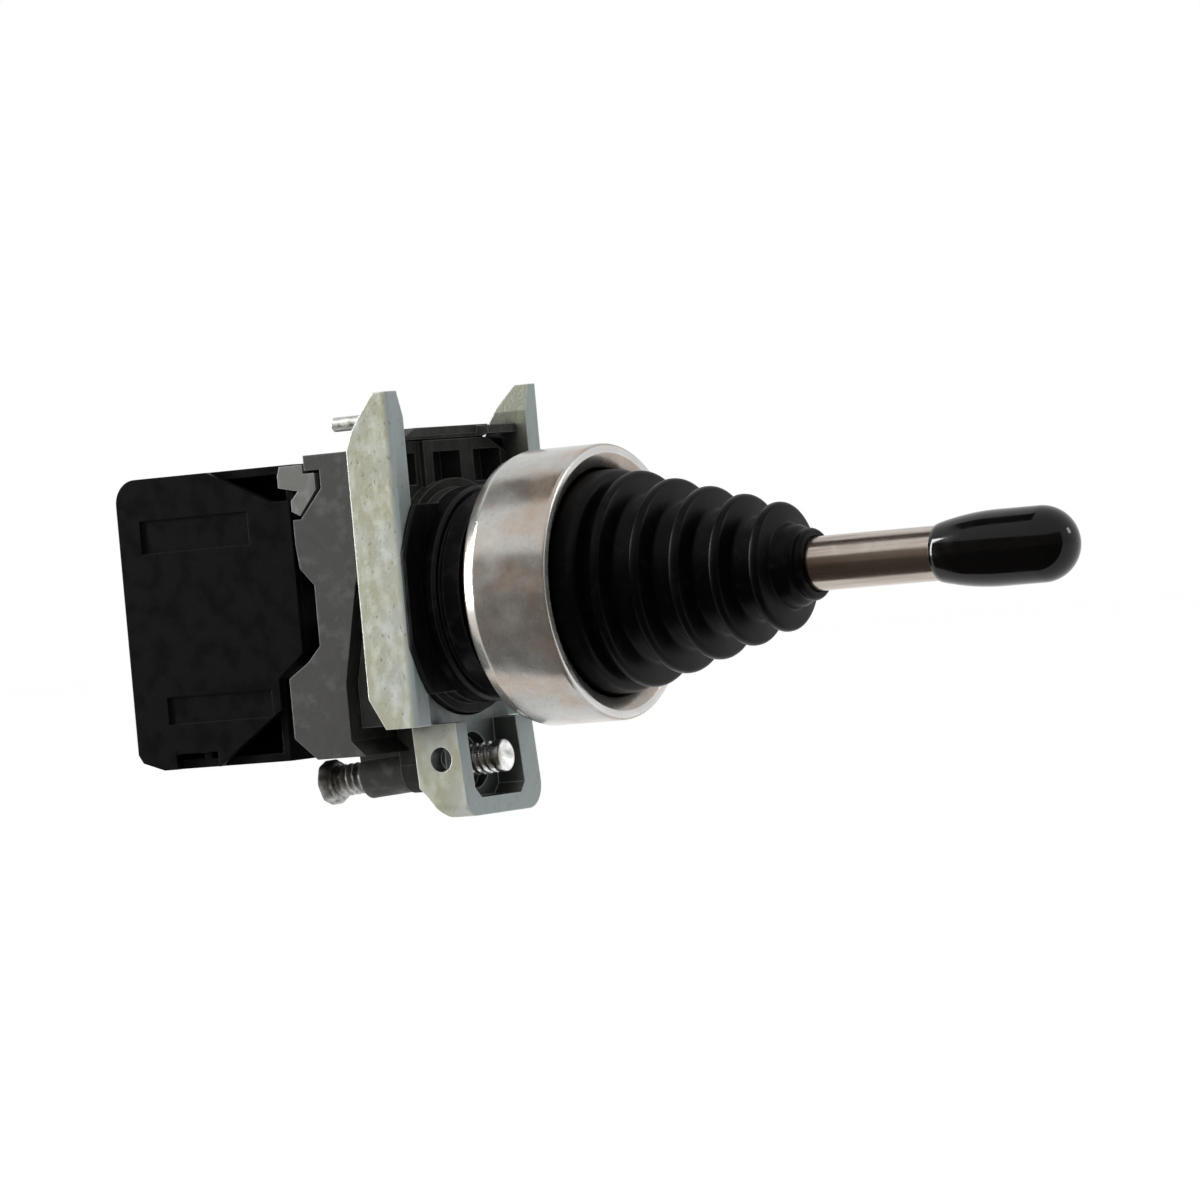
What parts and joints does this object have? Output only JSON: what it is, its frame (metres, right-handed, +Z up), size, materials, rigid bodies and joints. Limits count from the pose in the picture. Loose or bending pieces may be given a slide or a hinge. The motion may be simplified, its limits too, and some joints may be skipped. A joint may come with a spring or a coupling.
{
  "type": "joystick controller switch",
  "caption": "Panel-mount joystick switch: bellows-sealed lever in a metal bezel, zinc fixing collar with clamp screw, and latched contact blocks behind the panel.",
  "frame": {"origin": "on the lever's axis at the front surface of the panel, where the 22 mm barrel passes through", "axes": "+X along the lever, out of the panel towards the operator; +Z up, along the collar's ears; +Y to the operator's right"},
  "size_m": [0.142, 0.0394, 0.0589],
  "materials": {
    "bright_chrome": "polished, slightly worn",
    "satin_steel": "satin drawn bar",
    "zinc": "passivated zinc die casting, faintly yellow-green",
    "screw_zinc": "zinc-plated",
    "spring_steel": "bright wire",
    "brass": "bare",
    "boot_rubber": "matt",
    "seal_rubber": "matt",
    "grip_black": "high gloss",
    "moulded_black": "fine satin",
    "block_black": "satin",
    "carrier_brown": "glass-filled, matt grey-brown",
    "claw_grey": "matt light grey",
    "plunger_white": "satin"
  },
  "bodies": {
    "head": {"bezel_ring": "bright_chrome", "bezel_gasket": "seal_rubber", "head_barrel": "moulded_black", "boot": "boot_rubber", "boot_retainer": "moulded_black", "pivot_pin": "spring_steel", "guide_plate": "moulded_black", "return_spring_left": "spring_steel", "return_spring_right": "spring_steel"},
    "lever": {"lever_rod": "satin_steel", "lever_hub": "moulded_black", "grip": "grip_black"},
    "push_pin_left": {"push_pin_left": "plunger_white"},
    "push_pin_right": {"push_pin_right": "plunger_white"},
    "collar": {"panel_ring": "moulded_black", "collar_casting": "zinc", "collar_insert": "moulded_black", "locating_pin": "screw_zinc", "release_spring": "spring_steel", "contact_carrier": "carrier_brown", "latch_hooks": "claw_grey", "centre_block": "block_black", "block_housing_left": "block_black", "block_housing_right": "block_black", "block_cover_left": "block_black", "block_cover_right": "block_black", "fixed_contacts_left": "brass", "fixed_contacts_right": "brass", "contact_spring_left": "spring_steel", "contact_spring_right": "spring_steel"},
    "release_slider": {"release_slider": "carrier_brown"},
    "clamp_screw": {"clamp_screw": "screw_zinc"},
    "contact_drive_left": {"plunger_left": "plunger_white", "contact_bridge_left": "brass"},
    "contact_drive_right": {"plunger_right": "plunger_white", "contact_bridge_right": "brass"},
    "terminal_left_top": {"terminal_screw_left_top": "screw_zinc", "wire_clamp_left_top": "screw_zinc"},
    "terminal_left_bottom": {"terminal_screw_left_bottom": "screw_zinc", "wire_clamp_left_bottom": "screw_zinc"},
    "terminal_right_top": {"terminal_screw_right_top": "screw_zinc", "wire_clamp_right_top": "screw_zinc"},
    "terminal_right_bottom": {"terminal_screw_right_bottom": "screw_zinc", "wire_clamp_right_bottom": "screw_zinc"}
  },
  "joints": [
    {"name": "lever_tilt", "type": "hinge", "parent": "head", "child": "lever", "pos_m": [0.004, 0, 0], "axis": [0, 0, 1], "range_deg": [-18, 18], "stiffness_Nm_per_rad": 0.8, "deforming": ["boot"]},
    {"name": "push_pin_left_travel", "type": "slide", "parent": "head", "child": "push_pin_left", "axis": [-1, 0, 0], "range_m": [-0.0024, 0.0024], "deforming": ["return_spring_left"]},
    {"name": "push_pin_right_travel", "type": "slide", "parent": "head", "child": "push_pin_right", "axis": [-1, 0, 0], "range_m": [-0.0024, 0.0024], "deforming": ["return_spring_right"]},
    {"name": "collar_release", "type": "slide", "parent": "head", "child": "collar", "axis": [-1, 0, 0], "range_m": [0, 0.026]},
    {"name": "contact_travel_left", "type": "slide", "parent": "collar", "child": "contact_drive_left", "axis": [-1, 0, 0], "range_m": [-0.0024, 0.0024], "deforming": ["contact_spring_left"]},
    {"name": "contact_travel_right", "type": "slide", "parent": "collar", "child": "contact_drive_right", "axis": [-1, 0, 0], "range_m": [-0.0024, 0.0024], "deforming": ["contact_spring_right"]},
    {"name": "release_slide", "type": "slide", "parent": "collar", "child": "release_slider", "axis": [0, -1, 0], "range_m": [0, 0.003], "stiffness_N_per_m": 300, "deforming": ["release_spring"]},
    {"name": "clamp_screw_travel", "type": "slide", "parent": "collar", "child": "clamp_screw", "axis": [0.9974, 0, 0.0715], "range_m": [-0.004, 0.002]},
    {"name": "terminal_left_top_travel", "type": "slide", "parent": "collar", "child": "terminal_left_top", "axis": [-1, 0, 0], "range_m": [0, 0.0022]},
    {"name": "terminal_left_bottom_travel", "type": "slide", "parent": "collar", "child": "terminal_left_bottom", "axis": [-1, 0, 0], "range_m": [0, 0.0022]},
    {"name": "terminal_right_top_travel", "type": "slide", "parent": "collar", "child": "terminal_right_top", "axis": [-1, 0, 0], "range_m": [0, 0.0022]},
    {"name": "terminal_right_bottom_travel", "type": "slide", "parent": "collar", "child": "terminal_right_bottom", "axis": [-1, 0, 0], "range_m": [0, 0.0022]}
  ],
  "couplings": [
    {"joint": "push_pin_right_travel", "follows": "lever_tilt", "m_per_rad": 0.0074},
    {"joint": "push_pin_left_travel", "follows": "lever_tilt", "m_per_rad": -0.0074},
    {"joint": "contact_travel_right", "follows": "lever_tilt", "m_per_rad": 0.0074},
    {"joint": "contact_travel_left", "follows": "lever_tilt", "m_per_rad": -0.0074}
  ]
}
